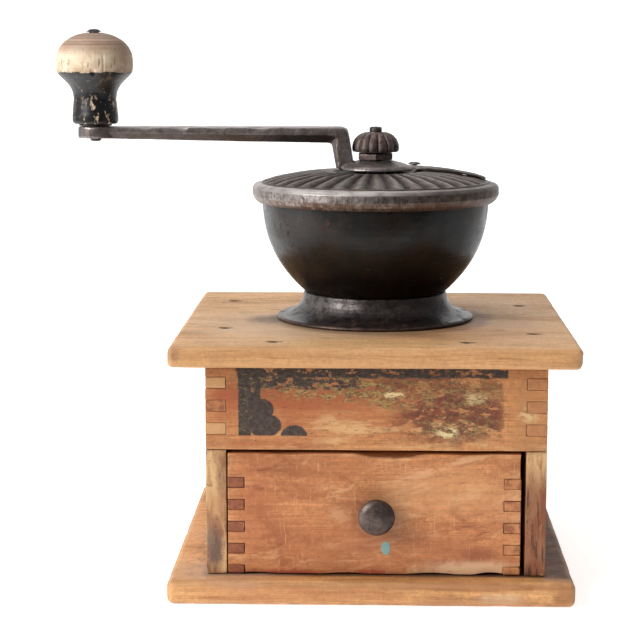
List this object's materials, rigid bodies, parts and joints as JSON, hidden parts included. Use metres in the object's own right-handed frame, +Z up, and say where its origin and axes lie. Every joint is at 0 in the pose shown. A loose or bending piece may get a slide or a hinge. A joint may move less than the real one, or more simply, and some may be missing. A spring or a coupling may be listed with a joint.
{
  "type": "coffee grinder mill",
  "caption": "Antique box coffee mill: finger-jointed wooden box with drawer, iron hopper, fluted lid with shutter, crank with turned wooden knob and conical burrs.",
  "frame": {"origin": "centre of the base board's underside, on the spindle's axis", "axes": "+Z up along the spindle, -Y to the front where the drawer opens, -X towards the crank knob at rest"},
  "size_m": [0.227, 0.1702, 0.2376],
  "materials": {
    "board_pine": "old bare pine, waxed and worn",
    "side_pine": "old bare pine, darkened",
    "rail_pine": "bare pine with remains of dark paint",
    "drawer_pine": "old orange pine",
    "knob_wood": "turned wood, bare head and black painted waist",
    "black_iron": "glossy black paint with rust flecks",
    "grey_iron": "bare grey iron, worn and pitted",
    "crank_iron": "dark worn iron",
    "dark_iron": "dark oxidised iron",
    "nail_iron": "rusted iron",
    "steel": "turned steel",
    "bearing_brass": "turned brass"
  },
  "bodies": {
    "mill": {"base_board": "board_pine", "top_board": "board_pine", "left_side": "side_pine", "right_side": "side_pine", "back_board": "side_pine", "front_rail": "rail_pine", "hopper_foot": "black_iron", "hopper_bowl": "black_iron", "lid_cover": "grey_iron", "burr_housing": "dark_iron", "spindle_guide": "dark_iron", "lower_bridge": "dark_iron", "bowl_rivet_1": "dark_iron", "bowl_rivet_2": "dark_iron", "bowl_rivet_3": "dark_iron", "top_nail_1": "nail_iron", "top_nail_2": "nail_iron", "top_nail_3": "nail_iron", "top_nail_4": "nail_iron", "top_nail_5": "nail_iron", "top_nail_6": "nail_iron", "base_nail_1": "nail_iron", "base_nail_2": "nail_iron", "base_nail_3": "nail_iron", "base_nail_4": "nail_iron", "outer_burr": "steel", "adjuster_nut": "steel", "mill_screw_1": "steel", "mill_screw_2": "steel", "mill_screw_3": "steel", "bridge_screw_1": "steel", "bridge_screw_2": "steel"},
    "drawer": {"drawer_front": "drawer_pine", "drawer_left": "side_pine", "drawer_right": "side_pine", "drawer_back": "side_pine", "drawer_bottom": "side_pine", "drawer_knob": "dark_iron", "drawer_knob_screw": "steel", "drawer_nail_1": "nail_iron", "drawer_nail_2": "nail_iron", "drawer_nail_3": "nail_iron", "drawer_nail_4": "nail_iron"},
    "shutter": {"lid_shutter": "grey_iron", "shutter_knob": "steel"},
    "step_bearing": {"step_bearing": "bearing_brass"},
    "adjuster": {"adjusting_screw": "steel"},
    "crank": {"spindle": "steel", "grinding_cone": "steel", "cone_pin": "steel", "crank_arm": "crank_iron", "lock_nut": "dark_iron", "cap_nut": "dark_iron", "knob_pin": "dark_iron", "knob_washer": "dark_iron"},
    "knob": {"knob_grip": "knob_wood"}
  },
  "joints": [
    {"name": "drawer_slide", "type": "slide", "parent": "mill", "child": "drawer", "axis": [0, -1, 0], "range_m": [0, 0.105]},
    {"name": "shutter_turn", "type": "hinge", "parent": "mill", "child": "shutter", "pos_m": [0, 0, 0.1731], "axis": [0, 0, 1], "range_deg": [0, 80]},
    {"name": "spindle_lift", "type": "slide", "parent": "mill", "child": "step_bearing", "axis": [0, 0, 1], "range_m": [-0.0004, 0.0004]},
    {"name": "adjuster_turn", "type": "hinge", "parent": "step_bearing", "child": "adjuster", "pos_m": [0, 0, 0.0707], "axis": [0, 0, 1], "range_deg": [-120, 120]},
    {"name": "crank_turn", "type": "hinge", "parent": "step_bearing", "child": "crank", "pos_m": [0, 0, 0.1752], "axis": [0, 0, 1], "continuous": true},
    {"name": "knob_spin", "type": "hinge", "parent": "crank", "child": "knob", "pos_m": [-0.125, 0, 0.1946], "axis": [0, 0, 1], "continuous": true}
  ],
  "couplings": [
    {"joint": "adjuster_turn", "follows": "spindle_lift", "rad_per_m": 5026.5}
  ]
}
